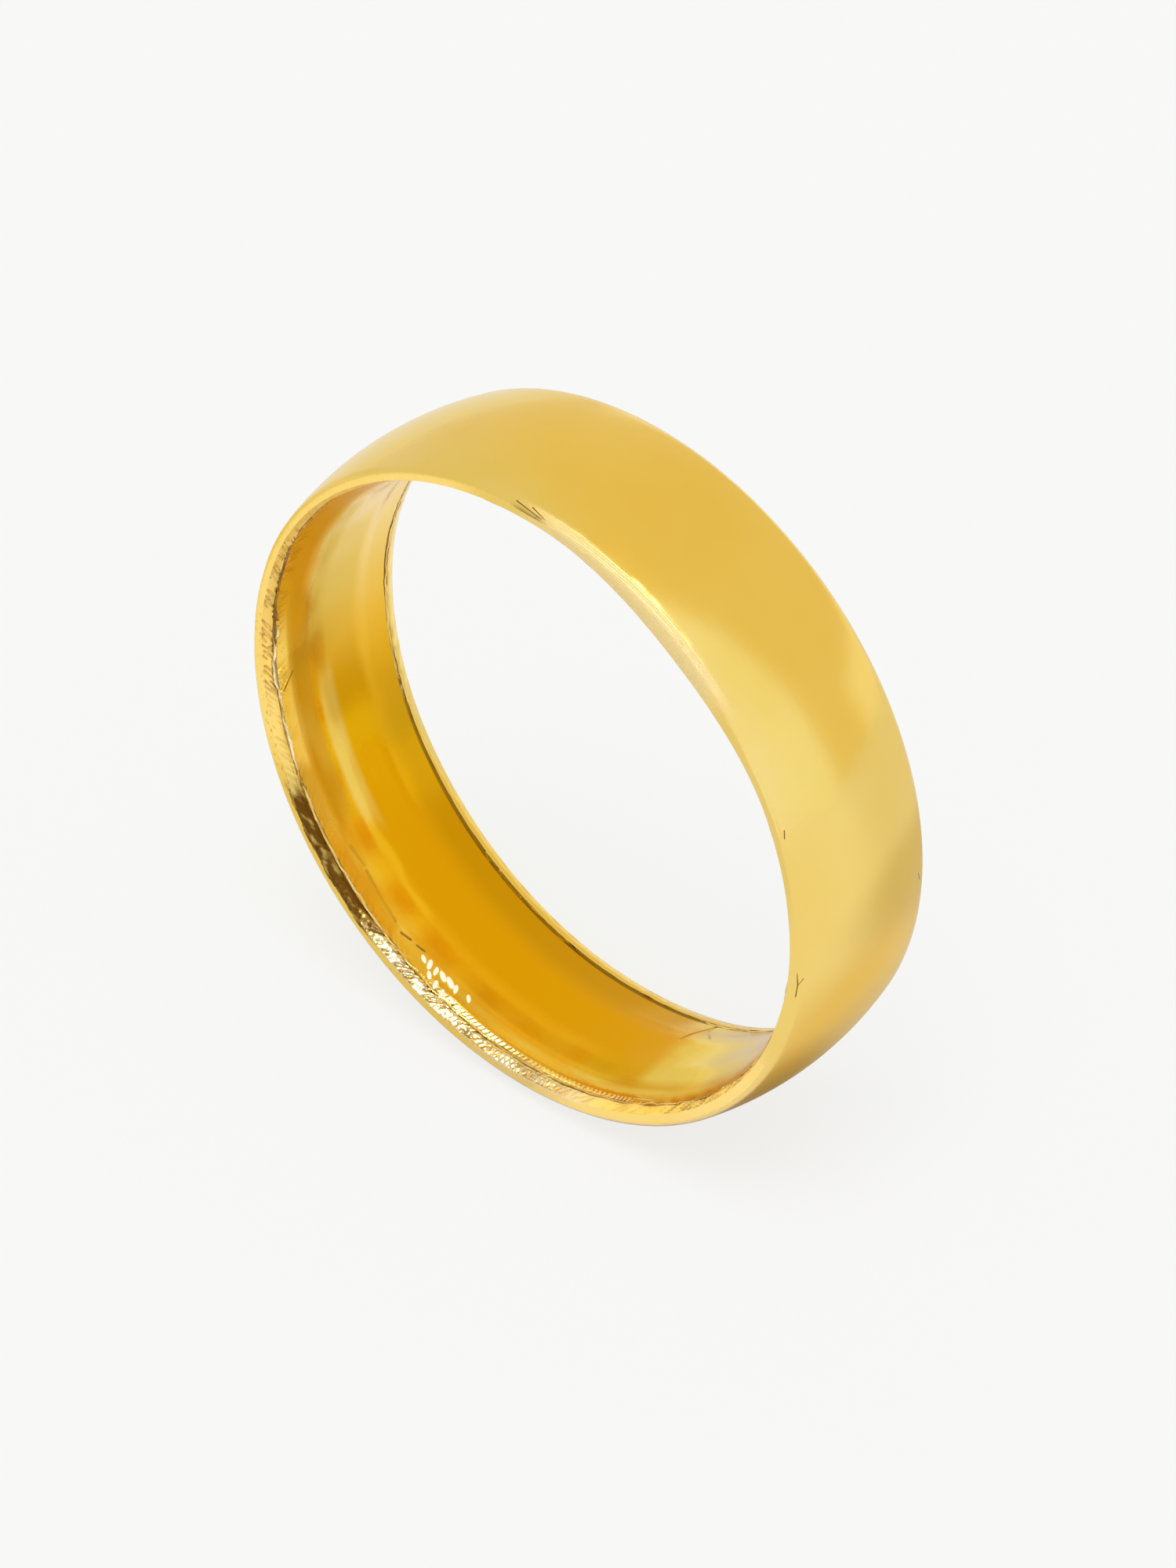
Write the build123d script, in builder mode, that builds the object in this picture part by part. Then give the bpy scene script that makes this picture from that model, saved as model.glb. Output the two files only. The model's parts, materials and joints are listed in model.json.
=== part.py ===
"""Wedding band: a court-shaped ring built up from sheet, standing on its edge.

The band's axis lies along Y, so its front rim faces -Y and its back rim faces +Y.
The origin is the centre of the bore, and +Z is up. All sizes are in millimetres.

The band is hollow. A domed outer shell turns in over both rims and ends in two short
lips inside the bore. A sleeve lines the bore between the lips: a plain round land in the
middle that flares towards both rims, so that the band slides over a knuckle. Each of
these two is a bent strip with one butt seam closed with solder, and a ring of solder
joins them along each rim.
"""

import os
from math import degrees

from build123d import *

# Overall sizes
bore_diameter = 17.7        # finger size, measured across the land of the bore
band_width = 5.0            # from rim face to rim face
crown_thickness = 1.15      # from the land of the bore to the top of the dome
dome_rise = 0.35            # from the shoulders to the top of the dome

# Sheet that the two strips are made of
shell_sheet = 0.20
sleeve_sheet = 0.20

# Bore
land_width = 1.4            # straight part in the middle of the bore
flare_depth = 0.29          # from the land out to the lips
flare_bend_radius = 2.0     # blends the land into the flare

# Rims
rim_rounding = 0.25         # round from the dome to the flat rim face
bevel_depth = 0.10          # from the lip out to the flat rim face
bevel_length = 0.22         # how far the inner bevel runs in along the axis
lip_length = 0.32           # from the rim face to the end of the shell's lip

# Solder
rim_solder_width = 0.10     # fills the gap between the shell's lip and the sleeve
seam_width = 0.12           # fills the gap between the two ends of a bent strip
shell_seam_angle = 289.0    # degrees about the axis, from +X towards +Z
sleeve_seam_angle = 289.0

# Sizes that follow from those above
half_width = band_width / 2
bore_radius = bore_diameter / 2
crown_radius = bore_radius + crown_thickness
shoulder_radius = crown_radius - dome_rise
lip_radius = bore_radius + flare_depth
bevel_end = half_width - bevel_length
lip_end = half_width - lip_length
sleeve_end = lip_end - rim_solder_width
land_end = land_width / 2
full_turn = 360.0
shell_seam_turn = degrees(seam_width / crown_radius)
sleeve_seam_turn = degrees(seam_width / bore_radius)


def axial_plane(angle):
    """Plane through the band's axis, with its X outwards and its Y along the axis."""
    return Plane.XY.rotated((0, -angle, 0))


def shell_section(angle):
    """Section of the outer shell: sheet all round the court outline, but not the bore."""
    with BuildSketch(axial_plane(angle)) as section:
        with BuildLine():
            ThreePointArc(
                (shoulder_radius, -half_width),
                (crown_radius, 0),
                (shoulder_radius, half_width),
            )
            Polyline(
                (shoulder_radius, half_width),
                (lip_radius + bevel_depth, half_width),
                (lip_radius, bevel_end),
                (lip_radius, -bevel_end),
                (lip_radius + bevel_depth, -half_width),
                (shoulder_radius, -half_width),
            )
        make_face()
        fillet(section.vertices().sort_by(Axis.X)[-2:], radius=rim_rounding)
        offset(amount=-shell_sheet, mode=Mode.SUBTRACT)
        with Locations((lip_radius, 0)):
            Rectangle(2 * shell_sheet, 2 * lip_end, mode=Mode.SUBTRACT)
    return section.sketch


def sleeve_section(angle):
    """Section of the sleeve: a strip with a straight land and a flare on each side."""
    with BuildSketch(axial_plane(angle)) as section:
        with BuildLine():
            for depth in (0, sleeve_sheet):
                FilletPolyline(
                    (lip_radius + depth, -sleeve_end),
                    (bore_radius + depth, -land_end),
                    (bore_radius + depth, land_end),
                    (lip_radius + depth, sleeve_end),
                    radius=flare_bend_radius,
                )
            for end in (-sleeve_end, sleeve_end):
                Line((lip_radius, end), (lip_radius + sleeve_sheet, end))
        make_face()
    return section.sketch


def rim_solder_section(low_end):
    """Section of one rim's solder: it fills the gap that starts at the low end."""
    with BuildSketch(axial_plane(0)) as section:
        with Locations((lip_radius, low_end)):
            Rectangle(sleeve_sheet, rim_solder_width, align=(Align.MIN, Align.MIN))
    return section.sketch


# Outer shell: domed strip, bent round until its two ends almost meet
with BuildPart() as outer_shell:
    shell_start = shell_seam_angle - shell_seam_turn / 2
    revolve(shell_section(shell_start), Axis.Y, full_turn - shell_seam_turn)

# Solder that closes the shell, with the shell's own section
with BuildPart() as shell_seam:
    shell_seam_start = shell_seam_angle + shell_seam_turn / 2
    revolve(shell_section(shell_seam_start), Axis.Y, shell_seam_turn)

# Inner sleeve: strip that lines the bore between the shell's lips
with BuildPart() as inner_sleeve:
    sleeve_start = sleeve_seam_angle - sleeve_seam_turn / 2
    revolve(sleeve_section(sleeve_start), Axis.Y, full_turn - sleeve_seam_turn)

# Solder that closes the sleeve, with the sleeve's own section
with BuildPart() as sleeve_seam:
    sleeve_seam_start = sleeve_seam_angle + sleeve_seam_turn / 2
    revolve(sleeve_section(sleeve_seam_start), Axis.Y, sleeve_seam_turn)

# Rings of solder between the shell's lips and the ends of the sleeve
with BuildPart() as front_rim_solder:
    revolve(rim_solder_section(-lip_end), Axis.Y)

with BuildPart() as back_rim_solder:
    revolve(rim_solder_section(sleeve_end), Axis.Y)

pieces = {
    "outer_shell": outer_shell,
    "shell_seam": shell_seam,
    "inner_sleeve": inner_sleeve,
    "sleeve_seam": sleeve_seam,
    "front_rim_solder": front_rim_solder,
    "back_rim_solder": back_rim_solder,
}
os.makedirs("parts", exist_ok=True)
for name, piece in pieces.items():
    piece.part.label = name
    export_step(piece.part, f"parts/{name}.step")
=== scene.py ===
import json
from math import cos, degrees, pi, radians, sin, sqrt, tau

import bmesh
import bpy
import numpy as np
from mathutils import Matrix, Vector


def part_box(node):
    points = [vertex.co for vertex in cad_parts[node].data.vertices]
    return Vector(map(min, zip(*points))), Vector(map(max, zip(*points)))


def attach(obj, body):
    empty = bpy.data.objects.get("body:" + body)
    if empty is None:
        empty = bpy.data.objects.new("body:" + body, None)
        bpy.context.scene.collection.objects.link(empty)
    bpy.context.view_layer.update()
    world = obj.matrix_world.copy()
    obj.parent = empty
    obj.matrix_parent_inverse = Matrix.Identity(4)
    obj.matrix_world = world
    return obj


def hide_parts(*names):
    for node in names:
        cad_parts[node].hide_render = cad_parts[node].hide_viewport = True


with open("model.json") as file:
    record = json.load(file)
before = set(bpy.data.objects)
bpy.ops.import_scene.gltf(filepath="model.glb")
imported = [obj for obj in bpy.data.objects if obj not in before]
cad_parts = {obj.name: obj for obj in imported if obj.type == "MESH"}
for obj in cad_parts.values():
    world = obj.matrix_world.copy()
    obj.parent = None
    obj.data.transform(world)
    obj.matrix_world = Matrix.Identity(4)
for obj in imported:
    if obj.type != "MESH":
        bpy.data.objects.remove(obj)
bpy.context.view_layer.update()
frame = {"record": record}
mm = 0.001

# Camera: a long lens, above the band and to its right, so that the near rim, the dome
# and the inside of the bore all show. It looks at the centre of the bore.
view_azimuth = radians(42.03)
view_elevation = radians(37.76)
view_distance = 200.8 * mm
towards_camera = Vector((
    sin(view_azimuth) * cos(view_elevation),
    -cos(view_azimuth) * cos(view_elevation),
    sin(view_elevation),
))
lens = bpy.data.cameras.new("camera")
lens.sensor_fit = "VERTICAL"
lens.sensor_height = 36.0
lens.lens = 175.3
lens.shift_x = 0.0036
lens.shift_y = -0.0153
lens.clip_start = 1 * mm
lens.clip_end = 10.0
camera = bpy.data.objects.new("camera", lens)
camera.location = view_distance * towards_camera
camera.rotation_euler = towards_camera.to_track_quat("Z", "Y").to_euler()
bpy.context.scene.collection.objects.link(camera)
bpy.context.scene.camera = camera

# Outer shell: a strip of gold sheet, drawn to a dome and turned in over both rims, then
# bent round until its ends almost meet. The dome is polished; the flat rims and the inner
# bevels keep the marks of the file and the turning tool.
shell_low, shell_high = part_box("outer_shell")
solder_low, solder_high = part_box("front_rim_solder")
crown_radius = shell_high.z / mm
half_width = shell_high.y / mm
sheet = 0.20
lip_radius = solder_high.z / mm - sheet
lip_end = -solder_low.y / mm
dome_rise = 0.35
rim_rounding = 0.25
bevel_depth = 0.10
bevel_length = 0.22
seam_angle = 289.0
seam_width = 0.12


def spread(start, end, count):
    """Evenly spaced values without the last one, so that stretches can be joined."""
    return np.linspace(start, end, count, endpoint=False)


def ripple(angles, lowest, highest, seed, waves=12):
    """Random wave round the band, about -1 to 1, from whole numbers of waves a turn."""
    draw = np.random.default_rng(seed)
    total = np.zeros_like(angles)
    for _ in range(waves):
        total += np.sin(draw.integers(lowest, highest + 1) * angles + draw.uniform(0, tau))
    return total / sqrt(waves)


def mottle(turn, across, lowest, highest, steepest, seed, waves=24):
    """Random pattern, about -1 to 1, over the angle and the distance across in mm."""
    draw = np.random.default_rng(seed)
    total = 0.0
    for _ in range(waves):
        slant = draw.uniform(-steepest, steepest) * across
        repeats = draw.integers(lowest, highest + 1)
        total = total + np.sin(repeats * turn + slant + draw.uniform(0, tau))
    return total / sqrt(waves)


def zigzag(phase):
    """Sharp ridges, 0 to 1, one for each whole number of the phase."""
    return np.abs((phase % 1.0) * 2 - 1)


def stretch_mask(angles, start, end, fade=4.0):
    """1 on the stretch between two angles in degrees, fading to 0 outside it."""
    middle = radians((start + end) / 2)
    away = np.degrees(np.abs((angles - middle + pi) % tau - pi))
    return np.clip(((end - start) / 2 + fade - away) / fade, 0, 1)


def wander(angles, knots):
    """Smooth closed curve through (angle in degrees, offset) knots."""
    places = np.radians([knot[0] for knot in knots])
    offsets = np.array([knot[1] for knot in knots])
    turn = (angles - places[0]) % tau
    place = np.append(places - places[0], tau)
    offset = np.append(offsets, offsets[0])
    low = np.searchsorted(place, turn, side="right").clip(1, len(offsets)) - 1
    share = (turn - place[low]) / (place[low + 1] - place[low])
    share = share * share * (3 - 2 * share)
    return offset[low] * (1 - share) + offset[low + 1] * share


def band_angles(start, end, fine=0.16, coarse=0.6, worked_from=150, worked_to=296):
    """Angles round the band in radians, closer together where the rim is torn and filed."""
    edges = [start]
    while edges[-1] < end - 0.01:
        worked = worked_from < edges[-1] % 360 < worked_to
        edges.append(min(end, edges[-1] + (fine if worked else coarse)))
    return np.radians(edges)


def hoop(name, radii, along, angles, stain, closed=False):
    """Solid made by carrying a closed section round the band, capped unless it closes."""
    turns, points = radii.shape
    corners = np.empty((turns, points, 3))
    corners[..., 0] = radii * np.cos(angles)[:, None]
    corners[..., 1] = along
    corners[..., 2] = radii * np.sin(angles)[:, None]
    last = turns if closed else turns - 1
    faces = []
    for turn in range(last):
        here, there = turn * points, (turn + 1) % turns * points
        for point in range(points):
            after = (point + 1) % points
            faces.append((here + point, here + after, there + after, there + point))
    if not closed:
        faces.append(tuple(range(points)))
        faces.append(tuple(range((turns - 1) * points, turns * points)))
    mesh = bpy.data.meshes.new(name)
    mesh.from_pydata((corners.reshape(-1, 3) * mm).tolist(), [], faces)
    skin = bmesh.new()
    skin.from_mesh(mesh)
    bmesh.ops.recalc_face_normals(skin, faces=skin.faces)
    skin.to_mesh(mesh)
    skin.free()
    layer = mesh.attributes.new("stain", "FLOAT", "POINT")
    layer.data.foreach_set("value", np.broadcast_to(stain, radii.shape).ravel())
    mesh.shade_smooth()
    mesh.set_sharp_from_angle(angle=radians(50))
    piece = bpy.data.objects.new(name, mesh)
    bpy.context.scene.collection.objects.link(piece)
    return piece


# Section of the shell: the front half of its outside, from the lip to the top of the dome.
dome_radius = (half_width ** 2 + dome_rise ** 2) / (2 * dome_rise)
dome_centre = crown_radius - dome_radius
rounding_reach = sqrt((dome_radius - rim_rounding) ** 2 - (half_width - rim_rounding) ** 2)
rounding_centre = dome_centre + rounding_reach
shoulder_slope = np.arctan2(half_width - rim_rounding, rounding_reach)


def half_outline(lip_points, bevel_points, face_points, rounding_points, dome_points):
    """Radii and depths from the rim face of the half outline, and each point's region."""
    lip = np.full(lip_points, lip_radius), spread(lip_end, half_width - bevel_length, lip_points)
    fall = spread(0, 1, bevel_points)
    bevel = lip_radius + bevel_depth * fall, half_width - bevel_length * (1 - fall)
    face_r = spread(lip_radius + bevel_depth, rounding_centre, face_points)
    face = face_r, np.full(face_points, half_width)
    lean = spread(pi / 2, shoulder_slope, rounding_points)
    rounding = (
        rounding_centre + rim_rounding * np.cos(lean),
        half_width - rim_rounding + rim_rounding * np.sin(lean),
    )
    lean = spread(shoulder_slope, 0, dome_points)
    dome = dome_centre + dome_radius * np.cos(lean), dome_radius * np.sin(lean)
    parts = (lip, bevel, face, rounding, dome)
    radii = np.concatenate([part[0] for part in parts])
    along = np.concatenate([part[1] for part in parts])
    region = np.concatenate([np.full(len(part[0]), i) for i, part in enumerate(parts)])
    return radii, along, region


# How far the inner edge of each rim strays outwards in mm, at angles round the band. The
# straying fades out over the blend reach, beyond the flat rim face.
front_wander = [
    (-45, 0.04), (-20, 0.06), (0, 0.12), (25, 0.14), (55, -0.13), (85, 0.06), (115, 0.12),
    (150, 0.18), (168, 0.12), (185, 0.0), (240, 0.0), (300, 0.02),
]
back_wander = [
    (-30, 0.0), (60, 0.0), (150, -0.10), (175, -0.05), (210, 0.0), (270, 0.02), (297, 0.12),
]
blend_reach = 0.15
tear_depth = 0.035


def hatching(turn, reach):
    """Crossed file cuts, 0 to 1, along the rim; reach is the distance out from the bore."""
    cut_pitch = 0.62
    step = np.degrees(turn) / cut_pitch
    jitter = 0.4 * ripple(turn, 15, 60, 3)
    which = np.clip(0.5 + 0.8 * ripple(turn, 8, 30, 4), 0, 1)
    one_way = zigzag(step + 6.0 * reach + jitter)
    other = zigzag(step * 0.8 - 8.0 * reach - jitter)
    return one_way * which + other * (1 - which)


def tears(turn, reach, seed):
    """Torn spots, 0 to 1, slanting across the lip."""
    flakes = mottle(turn + 0.14 * reach, reach, 60, 340, 14, seed)
    return np.clip(2.6 * flakes + 1.6 * mottle(turn, reach, 15, 90, 14, seed + 1) - 0.7, 0, 1)


def shell_section(angles):
    """Radii and places along Y of the shell's closed section, and how stained it is."""
    front_r, front_y, front_part = half_outline(4, 9, 7, 7, 12)
    back_r, back_y, back_part = half_outline(2, 3, 3, 5, 11)
    reach = np.append(0, np.cumsum(np.hypot(np.diff(front_r), np.diff(front_y))))
    turn = angles[:, None]
    on_lip, on_bevel, on_face, on_rounding = (front_part == part for part in range(4))
    inside = on_lip | on_bevel
    follow = np.clip((rounding_centre + blend_reach - front_r) / blend_reach, 0, 1)
    follow = follow * (front_part < 4)

    # Crossed cuts of the file, deepest at the bottom left.
    cut_depth = (
        0.0004
        + 0.0020 * stretch_mask(angles, 211, 236, 4)
        + 0.0030 * stretch_mask(angles, 238, 264, 6)
        + 0.0016 * stretch_mask(angles, 266, 294, 6)
    )[:, None]
    cuts = cut_depth * hatching(turn, reach) * (inside | on_face)

    # Flakes torn out of the lip, most of them at the left.
    rough = (
        0.10
        + stretch_mask(angles, 152, 183, 4)
        + 0.5 * stretch_mask(angles, 236, 256, 5)
        + 0.6 * stretch_mask(angles, 308, 340, 6)
    )[:, None]
    torn = tears(turn, reach, 7) * inside * rough
    scuffs = np.clip(1.5 * mottle(turn, reach, 90, 260, 60, 17) - 1.2, 0, 1) * on_face
    scuffs = scuffs * stretch_mask(angles, 172, 205, 6)[:, None]
    uneven = 0.012 * mottle(turn, reach, 10, 60, 8, 5) * inside

    # A darker patch at the lower left, as far out as the middle of the face.
    dark_patch = 1.0 + 0.35 * mottle(turn, reach, 20, 90, 30, 6)
    dark_patch = stretch_mask(angles, 208, 231, 5)[:, None] * dark_patch
    dark_patch = dark_patch * (inside | on_face * (reach < 0.45 + 0.04 * ripple(turn, 20, 80, 16)))

    # A burr on the rounding at the top, and metal dragged along it by the polishing.
    burr = stretch_mask(angles, 86, 89, 2.5)[:, None] * on_rounding
    burr = burr * np.exp(-((front_r - rounding_centre - 0.06) / 0.07) ** 2)
    flow = 0.024 * mottle(turn, reach, 20, 70, 40, 8) * on_rounding
    flow = np.abs(flow) * stretch_mask(angles, 46, 84, 10)[:, None]

    front_radii = front_r + wander(angles, front_wander)[:, None] * follow
    front_radii = front_radii + (cuts + tear_depth * torn + uneven) * inside - 0.05 * burr - flow
    front_along = (cuts + tear_depth * torn + 0.006 * scuffs) * (on_bevel | on_face)
    front_along = -(front_y - front_along)
    back_follow = np.clip((rounding_centre + blend_reach - back_r) / blend_reach, 0, 1)
    back_radii = back_r + wander(angles, back_wander)[:, None] * (back_part < 4) * back_follow
    back_radii = back_radii + 0.010 * mottle(turn, back_y, 20, 90, 6, 9) * (back_part < 2)
    back_along = back_y + 0 * turn

    # The hollow side of the sheet: the dome's inside and the two tucked lips.
    inner_lean = np.linspace(-shoulder_slope, shoulder_slope, 7)
    inner_r = dome_centre + (dome_radius - sheet) * np.cos(inner_lean) + 0 * turn
    inner_y = -(dome_radius - sheet) * np.sin(inner_lean) + 0 * turn
    hidden_y = half_width - sheet
    tuck_r = lip_radius + sheet + 0 * turn + 0.1
    radii = np.concatenate([
        front_radii, np.full_like(turn, crown_radius), back_radii[:, ::-1],
        tuck_r, tuck_r, inner_r, tuck_r, tuck_r,
    ], axis=1)
    along = np.concatenate([
        front_along, 0 * turn, back_along[:, ::-1],
        np.full_like(turn, lip_end), np.full_like(turn, hidden_y), inner_y,
        np.full_like(turn, -hidden_y), np.full_like(turn, -lip_end),
    ], axis=1)
    stain = np.zeros_like(radii)
    marks = 2.6 * torn * (1 - torn) + 0.5 * scuffs + 0.7 * burr + dark_patch
    stain[:, :front_r.size] = np.clip(marks, 0, 1)
    return radii, along, stain


shell_gap = degrees(seam_width / crown_radius)
shell_angles = band_angles(seam_angle - 360 + shell_gap / 2, seam_angle - shell_gap / 2)
shell_radii, shell_along, shell_stain = shell_section(shell_angles)
outer_shell = hoop("shell_strip", shell_radii, shell_along, shell_angles, shell_stain)


class Wire:
    """An output of a shader node. Arithmetic on wires adds Math nodes."""

    def __init__(self, socket):
        self.socket = socket

    def node(self, kind, settings=(), values=()):
        """Adds a node of a kind, sets it, and fills its inputs with values or wires."""
        tree = self.socket.id_data
        made = tree.nodes.new(kind)
        for name, value in dict(settings).items():
            setattr(made, name, value)
        for name, value in dict(values).items():
            if isinstance(value, Wire):
                tree.links.new(value.socket, made.inputs[name])
            else:
                made.inputs[name].default_value = value
        return made

    def maths(self, operation, *others):
        """Math node on this value and others."""
        values = dict(enumerate((self, *others)))
        return Wire(self.node("ShaderNodeMath", {"operation": operation}, values).outputs[0])

    def __add__(self, other):
        return self.maths("ADD", other)

    __radd__ = __add__

    def __mul__(self, other):
        return self.maths("MULTIPLY", other)

    __rmul__ = __mul__

    def __sub__(self, other):
        return self.maths("SUBTRACT", other)

    def __rsub__(self, other):
        return self * -1 + other

    def step(self, low, high, start=0.0, end=1.0):
        """Smooth step from start to end as the value goes from low to high."""
        values = {"Value": self, "From Min": low, "From Max": high, "To Min": start, "To Max": end}
        made = self.node("ShaderNodeMapRange", {"interpolation_type": "SMOOTHSTEP"}, values)
        return Wire(made.outputs["Result"])

    def blend(self, first, second):
        """Mix of two colours by this factor."""
        made = self.node("ShaderNodeMix", {"data_type": "RGBA"}, {0: self, 6: first, 7: second})
        return Wire(made.outputs[2])

    def vector(self, operation, values, output="Vector"):
        """Vector arithmetic on the values of its inputs."""
        made = self.node("ShaderNodeVectorMath", {"operation": operation}, values)
        return Wire(made.outputs[output])

    def split(self):
        """The X, Y and Z of this position or direction."""
        made = self.node("ShaderNodeSeparateXYZ", {}, {0: self})
        return tuple(Wire(made.outputs[name]) for name in "XYZ")

    def painted(self, layer):
        """Value that the mesh holds in a layer."""
        return Wire(self.node("ShaderNodeAttribute", {"attribute_name": layer}).outputs["Fac"])

    def stretched(self, scale):
        """Position scaled by a different amount along each axis."""
        return self.vector("MULTIPLY", {0: self, 1: scale})

    def noise(self, scale, detail=2.0, roughness=0.5):
        """Noise over this position."""
        values = {"Vector": self, "Scale": scale, "Detail": detail, "Roughness": roughness}
        return Wire(self.node("ShaderNodeTexNoise", {}, values).outputs["Fac"])

    def bump(self, distance):
        """Normal of a surface raised by this height times the distance."""
        values = {"Height": self, "Distance": distance, "Strength": 1.0}
        return Wire(self.node("ShaderNodeBump", {}, values).outputs["Normal"])

    def stroke(self, start, end, width):
        """1 on a straight scratch between two points of the band, fading over its width."""
        run = end - start
        offset = self.vector("SUBTRACT", {0: self, 1: start})
        share = self.vector("DOT_PRODUCT", {0: offset, 1: run / run.length_squared}, "Value")
        share = share.maths("MAXIMUM", 0.0).maths("MINIMUM", 1.0)
        nearest = self.vector("SCALE", {0: run, "Scale": share})
        away = self.vector("SUBTRACT", {0: offset, 1: nearest})
        away = self.vector("LENGTH", {0: away}, "Value")
        return away.step(0.0, width, 1.0, 0.0)

    def into(self, node, name):
        """Links this wire to an input of a node."""
        self.socket.id_data.links.new(self.socket, node.inputs[name])


def new_finish(name):
    """A material with its shader, and the position on the band as a wire."""
    finish = bpy.data.materials.new(name)
    finish.use_nodes = True
    shader = finish.node_tree.nodes["Principled BSDF"]
    place = finish.node_tree.nodes.new("ShaderNodeTexCoord").outputs["Object"]
    return finish, shader, Wire(place)


def on_band(turn, along, radius):
    """Point at an angle in degrees, a place along Y in mm and a radius in mm."""
    return Vector((radius * cos(radians(turn)), along, radius * sin(radians(turn)))) * mm


def on_dome(turn, along):
    """Point of the shell's outside at an angle in degrees and a place along Y in mm."""
    lean = np.arcsin(np.clip(along / dome_radius, -1, 1))
    radius = dome_centre + dome_radius * cos(lean)
    if abs(along) > dome_radius * sin(shoulder_slope):
        deep = abs(along) - half_width + rim_rounding
        radius = rounding_centre + sqrt(max(rim_rounding ** 2 - deep ** 2, 0))
    return on_band(turn, along, radius)


gold = (0.945, 0.650, 0.135, 1)
gold_worn = (0.925, 0.620, 0.110, 1)
gold_cut_highlight = (0.88, 0.70, 0.31, 1)
gold_dull_sheen = (0.70, 0.53, 0.21, 1)
blackened = (0.13, 0.046, 0.001, 1)
polished_gold, shader, place = new_finish("polished_gold")
shader.inputs["Metallic"].default_value = 1.0

# Scratches on the outside, from one angle and place along Y to another.
scratch_width = 0.028 * mm
scratches = (
    ((-3.0, -2.46), (-5.3, -2.43)), ((-4.2, -2.31), (-5.3, -2.43)),
    ((-5.3, -2.43), (-7.8, -2.44)), ((22.6, -2.33), (21.4, -2.38)),
    ((90.5, -2.40), (85.0, -2.47)), ((87.5, -2.36), (84.5, -2.45)),
    ((0.8, 2.12), (-0.6, 2.20)),
)
lines = [place.stroke(on_dome(*start), on_dome(*end), scratch_width) for start, end in scratches]
scored = lines[0]
for line in lines[1:]:
    scored = scored.maths("MAXIMUM", line)
stained = place.painted("stain")

# Angle round the band, from the right to the top (turn) and from the top to the left
# (lap), and the distance out from the axis.
side, along, up = place.split()
turn = up.maths("ARCTAN2", side)
lap = (-1 * side).maths("ARCTAN2", up)
out = (side * side + up * up).maths("SQRT")

# The front rim is filed at the bottom left, satin from the top round to the left and at
# the bottom right, and worn dull along its rounding at the upper right, where a duller
# gold is also painted in as a cream sheen that tones down the highlight.
filed = turn.step(radians(-156), radians(-148)) * turn.step(radians(-70), radians(-82))
rim = along.step(-2.17 * mm, -2.20 * mm) * out.step(9.36 * mm, 9.26 * mm)
filed = filed * rim
satin = lap.step(radians(5), radians(15)) * lap.step(radians(116), radians(102))
satin = satin + turn.step(radians(-86), radians(-76)) * turn.step(radians(-20), radians(-32))
satin = satin * along.step(-2.17 * mm, -2.20 * mm) * out.step(9.60 * mm, 9.50 * mm)
tint = place.noise(260, 3).step(0.35, 0.7)
# The filed bevel at the bottom left is painted a paler gold, which whitens its highlight: real file
# marks with a painted highlight.
filed_highlight = turn.step(radians(-131), radians(-122)) * filed
# Worn along the rounding; its duller gold is a painted sheen that tones down the highlight.
worn_and_sheen = turn.step(radians(40), radians(50)) * turn.step(radians(92), radians(80))
worn_and_sheen = worn_and_sheen * along.step(-2.22 * mm, -2.32 * mm)

colour = filed_highlight.blend(tint.blend(gold, gold_worn), gold_cut_highlight)
colour = (worn_and_sheen * 0.7).blend(colour, gold_dull_sheen)
scored.maths("MAXIMUM", stained * 0.97).blend(colour, blackened).into(shader, "Base Color")
wipe = place.stretched((900, 9000, 900)).noise(1.0, 3, 0.6)
haze = place.noise(600, 4, 0.6)
gloss = 0.12 + wipe * 0.05 + haze * 0.05 + stained * 0.10 + satin * 0.20 + worn_and_sheen * 0.25
gloss.into(shader, "Roughness")
(1.0 - satin * 0.75 - worn_and_sheen * 0.72).into(shader, "Metallic")
buffing = place.noise(420, 2) * 6 + wipe - scored * 4
cut = (turn * 110 + out * 12000 + place.noise(1500, 2) * 3).maths("PINGPONG", 1.0)
cross_cut = (turn * 90 - out * 15000 + place.noise(1200, 2) * 4).maths("PINGPONG", 1.0)
drag = ((out + along) * 26000 + turn * 9 + place.noise(700, 3) * 4).maths("PINGPONG", 1.0)
relief = buffing + (cut + cross_cut) * filed * (8.0 - stained * 5) + drag * worn_and_sheen * 7
relief.bump(1.2e-6).into(shader, "Normal")
outer_shell.data.materials.append(polished_gold)
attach(outer_shell, "root")
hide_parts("outer_shell")

# Shell seam: the hard solder that closes the butt joint of the shell. It is dressed down
# with the shell, so its surface carries on from the shell's own.
seam_edges = seam_angle - shell_gap / 2, seam_angle + shell_gap / 2
seam_angles = np.radians(np.linspace(*seam_edges, 7))
seam_radii, seam_along, seam_stain = shell_section(seam_angles)
shell_seam = hoop("shell_seam_solder", seam_radii, seam_along, seam_angles, seam_stain)
gold_solder, shader, place = new_finish("gold_solder")
solder = (0.95, 0.67, 0.19, 1)
solder_painted_highlight = (1.0, 0.84, 0.38, 1)
residue = (0.30, 0.16, 0.010, 1)
side, along, up = place.split()
lap = (-1 * side).maths("ARCTAN2", up)
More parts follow.
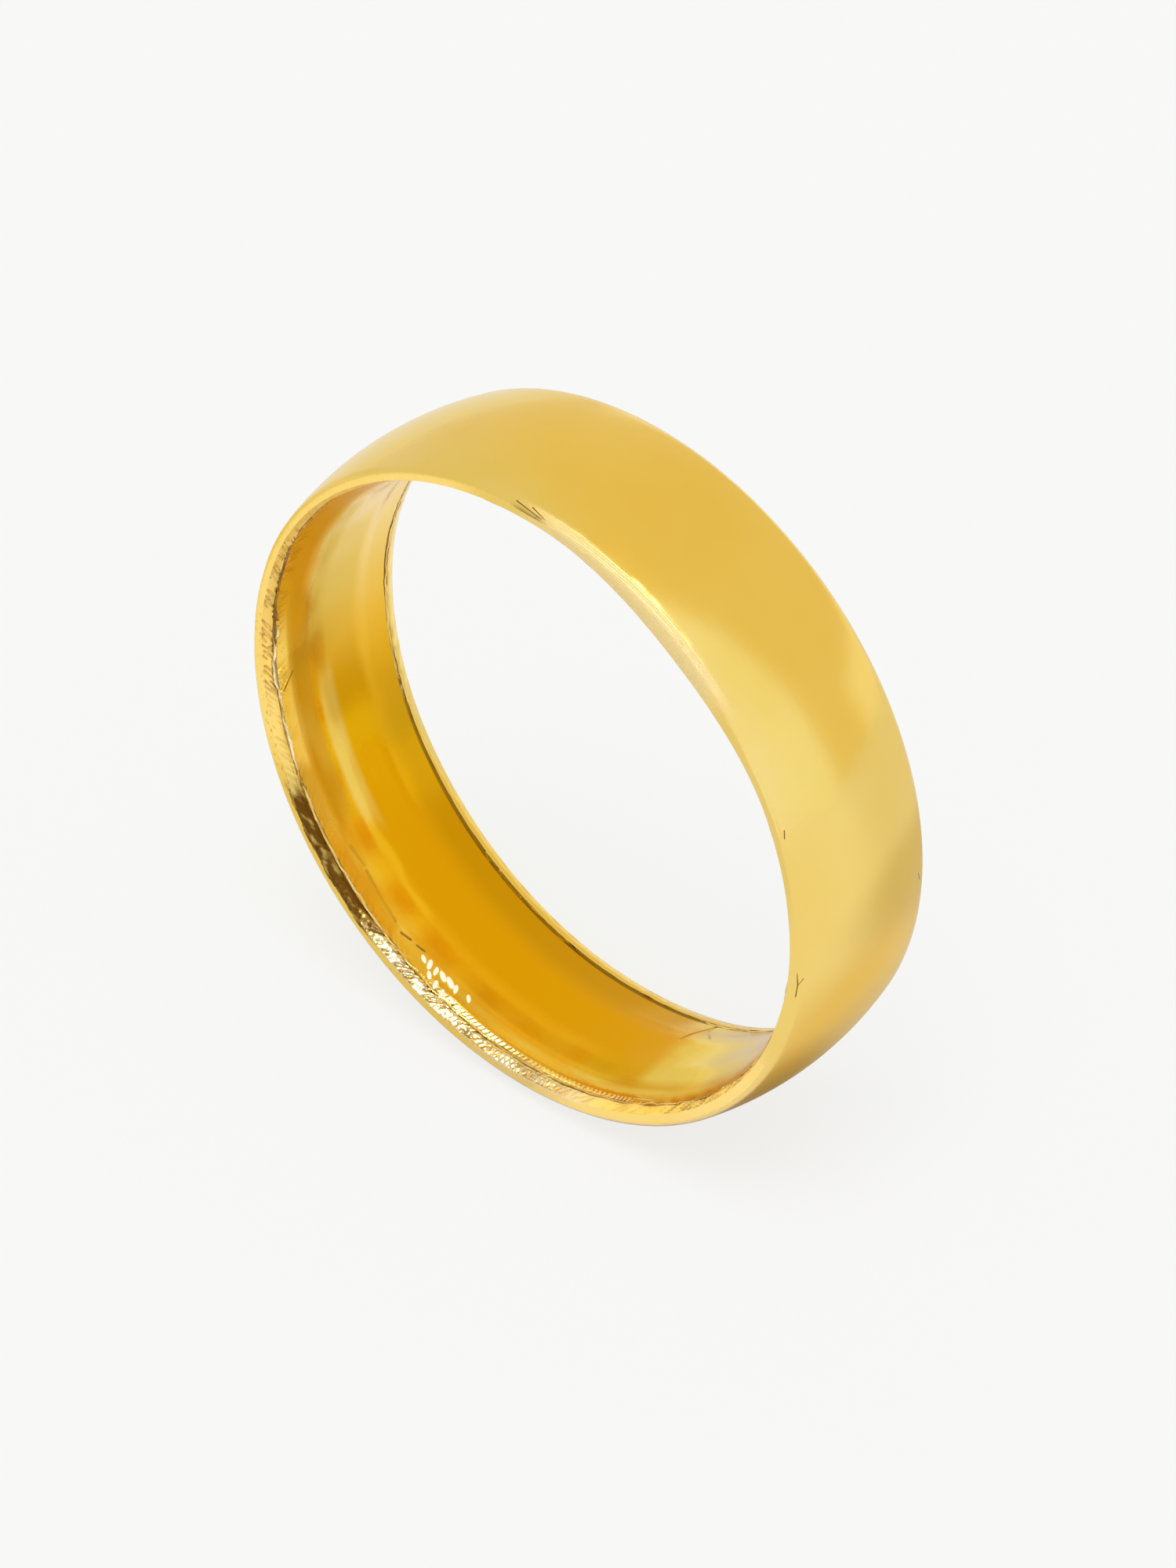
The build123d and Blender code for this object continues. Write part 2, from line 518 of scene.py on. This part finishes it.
# On the front ridge at the left the solder is painted paler: a painted highlight along the ridge.
pale_ridge_highlight = lap.step(radians(83), radians(86)) * lap.step(radians(118), radians(108))
pale_ridge_highlight = pale_ridge_highlight * along.step(0.0, -1.0 * mm)
stained = place.painted("stain")
speckle = place.noise(4000, 3).step(0.5, 0.75) * 0.3
spots = (stained + speckle).maths("MINIMUM", 1.0)
spots.blend(pale_ridge_highlight.blend(solder, solder_painted_highlight), residue).into(shader, "Base Color")
(1.0 - pale_ridge_highlight * 0.4).into(shader, "Metallic")
(0.24 + spots * 0.15).into(shader, "Roughness")
place.noise(9000, 3).bump(3e-6).into(shader, "Normal")
shell_seam.data.materials.append(polished_gold)
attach(shell_seam, "root")
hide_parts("shell_seam")

# Inner sleeve: a strip of the same sheet, burnished into the bore on a mandrel. It is
# straight in the middle and flares towards both rims.
sleeve_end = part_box("inner_sleeve")[1].y / mm
bore_radius = frame["record"]["mounts"][0]["dims"]["r_mm"]
land_end = 0.70
flare_bend = 2.0
flare_slope = (lip_radius - bore_radius) / (sleeve_end - land_end)
bend_points = 7
flare_points = 19
bore_points = 2 * (bend_points + flare_points) + 1
outer_points = 15


def sleeve_section(angles):
    """Radii and places along Y of the sleeve's closed section, and how stained it is."""
    flare = np.arctan2(lip_radius - bore_radius, sleeve_end - land_end)
    tangent = flare_bend * np.tan(flare / 2)
    lean = np.linspace(0, flare, bend_points)
    bend_r = bore_radius + flare_bend * (1 - np.cos(lean))
    bend_y = land_end - tangent + flare_bend * np.sin(lean)
    far_r = np.linspace(bend_r[-1], lip_radius, flare_points + 1)[1:]
    far_y = np.linspace(bend_y[-1], sleeve_end, flare_points + 1)[1:]
    half_r = np.concatenate([[bore_radius], bend_r, far_r])
    half_y = np.concatenate([[0.0], bend_y, far_y])
    line_r = np.concatenate([half_r[:0:-1], half_r])
    line_y = np.concatenate([-half_y[:0:-1], half_y])
    turn = angles[:, None]
    near = np.clip((-line_y - 1.2) / 0.9, 0, 1)
    far = np.clip((line_y - 1.2) / 0.9, 0, 1)
    near_offset = wander(angles, front_wander)[:, None] * near
    offset = near_offset + wander(angles, back_wander)[:, None] * far
    hammer = 0.010 * ripple(turn + 0 * line_y, 3, 14, 11) * np.clip(np.abs(line_y) - 0.4, 0, 1)

    # The edge is dressed with the file at the bottom, and torn at the left with the lip.
    dressed = stretch_mask(angles, 252, 290, 5)[:, None]
    facet = np.clip(-line_y - 1.93, 0, 1) * dressed
    filed = 0.0045 * hatching(turn, -line_y) * (facet > 0) * dressed
    ragged = np.clip((-line_y - 1.75) / 0.3, 0, 1) * tears(turn, line_y, 13)
    ragged = ragged * (0.1 + stretch_mask(angles, 152, 186, 4))[:, None]
    bent = 0.014 * mottle(turn, line_y, 6, 34, 4, 15)
    bent = bent * np.clip(1 - np.abs(line_y + 0.8) / 0.9, 0, 1)
    inner = line_r + offset + hammer + bent + 0.32 * facet + filed + 0.03 * ragged
    kept = np.linspace(bore_points - 1, 0, outer_points).round().astype(int)
    outer = line_r[kept] + offset[:, kept] + sheet
    radii = np.concatenate([inner, outer], axis=1)
    along = np.concatenate([line_y, line_y[kept]]) + 0 * turn
    sooty = 0.9 * np.clip((line_y - 2.02) / 0.06, 0, 1)
    sooty = sooty * stretch_mask(angles, 212, 280, 12)[:, None]
    stain = np.concatenate([1.4 * ragged * (1 - ragged) + sooty, 0 * outer], axis=1)
    return radii, along, stain


sleeve_gap = degrees(seam_width / bore_radius)
sleeve_angles = band_angles(seam_angle - 360 + sleeve_gap / 2, seam_angle - sleeve_gap / 2)
sleeve_radii, sleeve_along, sleeve_stain = sleeve_section(sleeve_angles)
inner_sleeve = hoop("sleeve_strip", sleeve_radii, sleeve_along, sleeve_angles, sleeve_stain)
lining_gold, shader, place = new_finish("lining_gold")
shader.inputs["Metallic"].default_value = 1.0
shader.inputs["Specular Tint"].default_value = (1.0, 0.92, 0.75, 1)
lining = (0.85, 0.42, 0.002, 1)
lining_painted_light = (0.90, 0.59, 0.09, 1)
lining_flare = (0.87, 0.50, 0.02, 1)
lining_edge_highlight = (1.0, 0.73, 0.12, 1)
lining_lit_wash = (0.95, 0.67, 0.10, 1)
lining_painted_shade = (0.70, 0.345, 0.001, 1)
lining_band_shade = (0.62, 0.31, 0.002, 1)
lining_satin_shaded = (0.70, 0.34, 0.003, 1)
lining_shaded = (0.66, 0.37, 0.008, 1)
lining_cut_highlight = (0.96, 0.73, 0.25, 1)
side, along, up = place.split()


def facing(turn, low, high):
    """1 on the part of the bore around an angle in degrees; low and high are cosines."""
    share = (side * cos(radians(turn)) + up * sin(radians(turn))) * (1 / (bore_radius * mm))
    return (share + (place.noise(500, 2) - 0.5) * 0.10).step(low, high)


# Colours of the bore, mostly painted light and shade: deeper round the lower left and paler
# elsewhere, a yellower near flare with painted shade at the left and a painted highlight on
# its edge, painted shade at the far end, at the bottom and in a dark band at the left beside
# a painted pale reflection, and a painted pool of light at the bottom right.
flared = along.step(-1.1 * mm, -1.5 * mm)
edge = along.step(-1.5 * mm, -1.7 * mm)
# The near flare is a yellower gold, with painted shade round the left; its satin patch at the upper
# left is painted darker, as shade.
flare_colour = facing(188, 0.90, 0.95).blend(lining_flare, lining_shaded)
satin = facing(143, 0.76, 0.84)
flare_colour = satin.blend(flare_colour, lining_satin_shaded)
# The bore is painted deeper round the lower left and paler elsewhere: painted shade and painted
# light.
colour = facing(240, 0.20, 0.72).blend(lining_painted_light, lining)
colour = flared.blend(colour, flare_colour)
# A painted highlight along the near edge round the lower left.
edge_lit = edge * facing(240, 0.35, 0.6) * (1 - facing(218, 0.975, 0.995) * 0.7)
colour = edge_lit.blend(colour, lining_edge_highlight)
# Painted shade at the far end, round the lower left.
colour = (along.step(0.5 * mm, 1.6 * mm) * facing(242, 0.66, 0.82)).blend(colour, lining_painted_shade)
# A patch of painted shade on the near flare at the bottom.
low_shade_band = along.step(-1.45 * mm, -1.30 * mm) * along.step(-0.85 * mm, -1.05 * mm)
low_shade_band = low_shade_band * facing(268, 0.94, 0.985)
colour = (low_shade_band * 0.5).blend(colour, lining_painted_shade)
# A dark band at the left: painted shade.
band = along.step(-1.78 * mm, -1.66 * mm) * along.step(-0.98 * mm, -1.16 * mm)
band = band * facing(190, 0.90, 0.96)
colour = (band * 0.85).blend(colour, lining_band_shade)
# A pale tongue at the left: a painted reflection.
tongue = along.step(-1.00 * mm, -0.80 * mm) * along.step(-0.25 * mm, -0.50 * mm)
colour = (tongue * facing(202, 0.955, 0.992) * 0.8).blend(colour, lining_painted_light)
# A painted pool of light on the near flare at the bottom right.
lit = facing(309, 0.93, 0.985) * along.step(-1.6 * mm, -1.1 * mm)
colour = lit.blend(colour, lining_lit_wash)
# The filed facet at the sleeve's front edge is painted a paler gold, which whitens its highlight:
# real file marks with a painted highlight.
dressed = along.step(-1.92 * mm, -1.96 * mm) * facing(271, 0.92, 0.96)
colour = dressed.blend(colour, lining_cut_highlight)


def on_flare(turn, along):
    """Point of the sleeve's flare at an angle in degrees and a place along Y in mm."""
    return on_band(turn, along, bore_radius + flare_slope * (abs(along) - land_end))


# Marks on the flares: from one angle and place along Y to another, their width and how
# dark they are.
flare_marks = (
    ((219, -1.60), (223, -1.52), 0.09, 0.25), ((224, -1.55), (234, -1.66), 0.08, 0.35),
    ((236.2, -1.74), (238.2, -1.65), 0.06, 0.8), ((239.6, -1.62), (241.2, -1.57), 0.05, 0.8),
    ((288.8, 2.10), (290.2, 1.60), 0.10, 0.8), ((290.2, 1.60), (294.5, 1.00), 0.05, 0.7),
    ((187.5, -1.95), (184.5, -1.62), 0.04, 0.8),
)
scored = 0.0
for start, end, width, darkness in flare_marks:
    scored = place.stroke(on_flare(*start), on_flare(*end), width * mm) * darkness + scored
stained = place.painted("stain")
(stained * 0.8 + scored).maths("MINIMUM", 0.9).blend(colour, blackened).into(shader, "Base Color")
rubbed = place.stretched((900, 5000, 900)).noise(1.0, 3, 0.6)
satin = satin * along.step(-0.9 * mm, -1.3 * mm)
(0.12 + rubbed * 0.08 + satin * 0.15).into(shader, "Roughness")
near_land = along.step(-1.70 * mm, -1.50 * mm) * along.step(-0.40 * mm, -0.80 * mm)
near_land = near_land * facing(245, 0.75, 0.9)
dulled = satin.maths("MAXIMUM", band * 0.6).maths("MAXIMUM", near_land * 0.25)
(1.0 - dulled * 0.70 - edge * facing(190, 0.90, 0.96) * 0.25).into(shader, "Metallic")
turn = up.maths("ARCTAN2", side)
cut = (turn * 115 - along * 9000 + place.noise(1500, 2) * 3).maths("PINGPONG", 1.0)
(place.noise(500, 2) * 6 + rubbed + cut * dressed * 8).bump(1.4e-6).into(shader, "Normal")
inner_sleeve.data.materials.append(lining_gold)
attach(inner_sleeve, "root")
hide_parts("inner_sleeve")

# Sleeve seam: the solder that closes the sleeve. The burnisher has smoothed it except near
# the back rim, where a pitted groove is left.
seam_edges = seam_angle - sleeve_gap / 2, seam_angle + sleeve_gap / 2
seam_turns = 9
seam_angles = np.radians(np.linspace(*seam_edges, seam_turns))
seam_radii, seam_along, seam_stain = sleeve_section(seam_angles)
across = np.linspace(-1, 1, seam_turns)[:, None]
inside = np.arange(seam_radii.shape[1]) < bore_points
groove = np.clip((seam_along - 0.6) / 0.6, 0, 1) * (1 - across ** 2) * inside
sleeve_seam = hoop(
    "sleeve_seam_solder", seam_radii + 0.05 * groove, seam_along, seam_angles, seam_stain + groove,
)
sleeve_seam.data.materials.append(lining_gold)
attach(sleeve_seam, "root")
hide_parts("sleeve_seam")

# Front rim solder: a ring of solder between the lip of the shell and the end of the sleeve.
# It has run unevenly, so it stands in a rough ridge with beads, and leaves pits beside it.


def solder_ring(name, side, wander_knots, run_knots, rise, stain_amount, seed):
    """Ring of solder at the front (side -1) or the back (side 1); the caller names its node."""
    angles = np.radians(np.arange(0, 360, 0.2))
    turn = angles[:, None]
    middle = (lip_end + sleeve_end) / 2
    half_gap = (lip_end - sleeve_end) / 2
    lean = np.linspace(0, pi, 11)
    lumps = ripple(turn + 0.03 * lean, 60, 240, seed)
    swell = 0.5 + 0.6 * ripple(turn, 5, 40, seed + 1)
    drift = 0.03 * ripple(turn, 20, 120, seed + 2) + wander(angles, run_knots)[:, None]
    ridge = rise(angles)[:, None] * np.clip(swell + 0.4 * lumps, -0.4, 1.8)
    ridge_r = lip_radius - ridge * np.sin(lean) + wander(angles, wander_knots)[:, None]
    ridge_y = middle + drift * np.sin(lean) - half_gap * np.cos(lean)
    pits = np.clip(0.7 - swell - 0.5 * lumps, 0, 1) + 0 * lean
    amount = stain_amount(angles)[:, None]
    stain = pits * amount + np.maximum(amount - 1, 0) + (np.abs(np.cos(lean)) > 0.75) * 0.8
    stain = np.clip(stain, 0, 1)
    under_r = np.full((len(angles), 2), lip_radius + sheet)
    under_y = np.full((len(angles), 2), [middle + half_gap, middle - half_gap])
    radii = np.concatenate([ridge_r, under_r], axis=1)
    along = side * np.concatenate([ridge_y, under_y], axis=1)
    stain = np.concatenate([stain, 0 * under_r], axis=1)
    ring = hoop(name, radii, along, angles, stain, closed=True)
    ring.data.materials.append(gold_solder)
    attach(ring, "root")
    return ring


def front_rise(angles):
    return 0.028 + 0.040 * stretch_mask(angles, 174, 206, 3)


def front_residue(angles):
    return 0.4 + 0.5 * stretch_mask(angles, 152, 172, 5) + 0.9 * stretch_mask(angles, 162, 172, 3)


# Where the solder has run off its line, along Y.
front_run = [
    (170, 0.0), (174.5, -0.20), (179, 0.0), (183, 0.16), (190, -0.04), (200, 0.0), (360, 0.0),
]
front_solder = solder_ring(
    "front_solder_ring", -1, front_wander, front_run, front_rise, front_residue, 21,
)
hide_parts("front_rim_solder")

# Solder drops: where the flame was held longest the solder ran over the edge of the sleeve
# and froze in long drops. They lie on the flare, just inside the front ring of solder.
drop_spots = (
    (242.2, -1.72, 0.28), (243.6, -1.70, 0.36), (245.2, -1.70, 0.32), (246.7, -1.66, 0.38),
    (248.4, -1.64, 0.42), (249.9, -1.66, 0.32), (252.7, -1.61, 0.28), (245.0, -1.92, 0.30),
    (247.0, -1.98, 0.34), (248.9, -2.04, 0.34), (251.0, -1.98, 0.28), (253.2, -2.06, 0.30),
    (318.0, -2.05, 0.18), (322.5, -2.08, 0.24), (329.0, -2.06, 0.18), (334.5, -2.07, 0.26),
)
flatness = 0.26
drops = bmesh.new()
for turn, along, length in drop_spots:
    outward = Vector((cos(radians(turn)), 0, sin(radians(turn))))
    lean = radians(-45 + 22 * sin(7 * turn))
    run = Vector((0, cos(lean), 0)) + sin(lean) * Vector((-outward.z, 0, outward.x))
    width = 0.38 * length + 0.02
    strayed = wander(np.radians([turn]), front_wander)[0] * min(1, (-along - 1.2) / 0.9)
    seat = lip_radius - flare_slope * (sleeve_end + along) + strayed
    half_axes = outward.cross(run) * width / 2, outward * flatness * width, run * length / 2
    shaped = Matrix(half_axes).transposed() * mm
    placed = Matrix.Translation((outward * seat + Vector((0, along, 0))) * mm) @ shaped.to_4x4()
    bmesh.ops.create_uvsphere(drops, u_segments=16, v_segments=10, radius=1.0, matrix=placed)
mesh = bpy.data.meshes.new("solder_drops")
drops.to_mesh(mesh)
drops.free()
mesh.shade_smooth()
solder_drops = bpy.data.objects.new("solder_drops", mesh)
bpy.context.scene.collection.objects.link(solder_drops)
frozen_drops, shader, _ = new_finish("frozen_drops")
shader.inputs["Base Color"].default_value = (0.98, 0.88, 0.62, 1)
shader.inputs["Metallic"].default_value = 0.35
shader.inputs["Roughness"].default_value = 0.22
solder_drops.data.materials.append(frozen_drops)
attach(solder_drops, "root")
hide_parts("front_rim_solder")

# Back rim solder: the same ring at the far rim. At the lower left it has sunk into a
# groove, which holds dark residue.


def back_rise(angles):
    return 0.012 - 0.03 * stretch_mask(angles, 195, 282, 12)


def back_residue(angles):
    return 0.5 + 1.5 * stretch_mask(angles, 205, 280, 12)


back_run = [(0, 0.0), (180, 0.0)]
back_solder = solder_ring("back_solder_ring", 1, back_wander, back_run, back_rise, back_residue, 31)
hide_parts("back_rim_solder")

# Floor: a plain pale sheet that the band stands on. The gold mirrors a second sheet just
# above it, painted with light and shade: painted light on the right and behind the band,
# and the band's painted shadow, darker and warmer, beside it.
floor_reach = 1.5
floor_z = shell_low.z


def sheet_of_paper(name, height):
    """Square sheet at a height."""
    quarters = ((-1, -1), (1, -1), (1, 1), (-1, 1))
    corners = [(x * floor_reach, y * floor_reach, height) for x, y in quarters]
    mesh = bpy.data.meshes.new(name)
    mesh.from_pydata(corners, [], [(0, 1, 2, 3)])
    paper = bpy.data.objects.new(name, mesh)
    bpy.context.scene.collection.objects.link(paper)
    return paper


floor = sheet_of_paper("floor", floor_z)
pale_floor, shader, _ = new_finish("pale_floor")
shader.inputs["Base Color"].default_value = (0.10, 0.10, 0.10, 1)
shader.inputs["Roughness"].default_value = 0.9
shader.inputs["Specular IOR Level"].default_value = 0.0
shader.inputs["Emission Color"].default_value = (1.0, 1.0, 0.97, 1)
shader.inputs["Emission Strength"].default_value = 0.80
floor.data.materials.append(pale_floor)
floor.visible_glossy = False

mirrored = sheet_of_paper("mirrored_floor", floor_z + 0.005 * mm)
mirrored.visible_camera = False
mirrored.visible_diffuse = False
mirrored.visible_shadow = False
white_card, shader, place = new_finish("white_card")
card = (0.61, 0.64, 0.80, 1)
card_painted_light = (0.67, 0.71, 0.90, 1)
card_painted_shade = (0.63, 0.62, 0.50, 1)
east, north, _ = place.split()
bearing = east.maths("ARCTAN2", north)
# Painted light on the card to the right, and painted shade, warmer, to the left.
paper = bearing.step(radians(52), radians(64)).blend(card, card_painted_light)
painted_shade_left = (bearing + pi / 2).maths("ABSOLUTE").step(radians(58), radians(46))
paper = painted_shade_left.blend(paper, card_painted_shade)


def patch(x, y, far, near):
    """1 within the near distance of a spot on the floor, 0 beyond the far one, all in mm."""
    spot = Vector((x * mm, y * mm, floor_z))
    return place.vector("DISTANCE", {0: place, 1: spot}, "Value").step(far * mm, near * mm)


# Painted light behind the band at the left, the band's painted cast shadow behind it at the right,
# and its painted contact shadow beside it, darker and warmer.
paper = patch(-6, 10, 13, 5).blend(paper, (0.72, 0.77, 0.86, 1))
paper = patch(14, 16, 14, 4).blend(paper, (0.50, 0.48, 0.42, 1))
paper = patch(9, 5, 9, 3).blend(paper, (0.60, 0.53, 0.33, 1))
paper = patch(7.5, 1.2, 3.5, 0.5).blend(paper, (0.48, 0.38, 0.15, 1))
paper.into(shader, "Base Color")
shader.inputs["Roughness"].default_value = 1.0
shader.inputs["Specular IOR Level"].default_value = 0.0
mirrored.data.materials.append(white_card)

# Light: a white tent, brighter behind its right wall and low at the back, with one softbox
# overhead.
world = bpy.data.worlds.new("tent")
bpy.context.scene.world = world
world.use_nodes = True
tree = world.node_tree
background = tree.nodes["Background"]
direction = Wire(tree.nodes.new("ShaderNodeTexCoord").outputs["Generated"])
east, north, up = direction.split()
bearing = east.maths("ARCTAN2", north)
height = up.maths("ARCSINE")
right_wall = bearing.step(radians(54), radians(60))
left_wall = bearing.step(radians(-45), radians(-75))
overhead = Vector((0.15, -0.30, 0.94)).normalized()
softbox = direction.vector("DOT_PRODUCT", {0: direction, 1: overhead}, "Value")
softbox = softbox.step(cos(radians(19)), cos(radians(13)))
window = bearing.step(radians(66), radians(82))
wall_colour = window.blend((0.95, 1.05, 1.40, 1), (0.97, 1.08, 1.80, 1))
tent = right_wall.blend((0.84, 0.78, 0.62, 1), wall_colour)
tent = left_wall.blend(tent, (0.80, 0.82, 0.90, 1))
horizon = bearing.maths("ABSOLUTE").step(radians(42), radians(34))
horizon = horizon * height.step(radians(15), radians(9))
tent = horizon.blend(tent, (0.98, 1.02, 1.25, 1))
tent = softbox.blend(tent, (8.0, 8.0, 8.0, 1))
seen = Wire(tree.nodes.new("ShaderNodeLightPath").outputs["Is Camera Ray"])
seen.blend(tent, (0.93, 0.93, 0.93, 1)).into(background, "Color")
bpy.context.scene.view_settings.view_transform = "Standard"
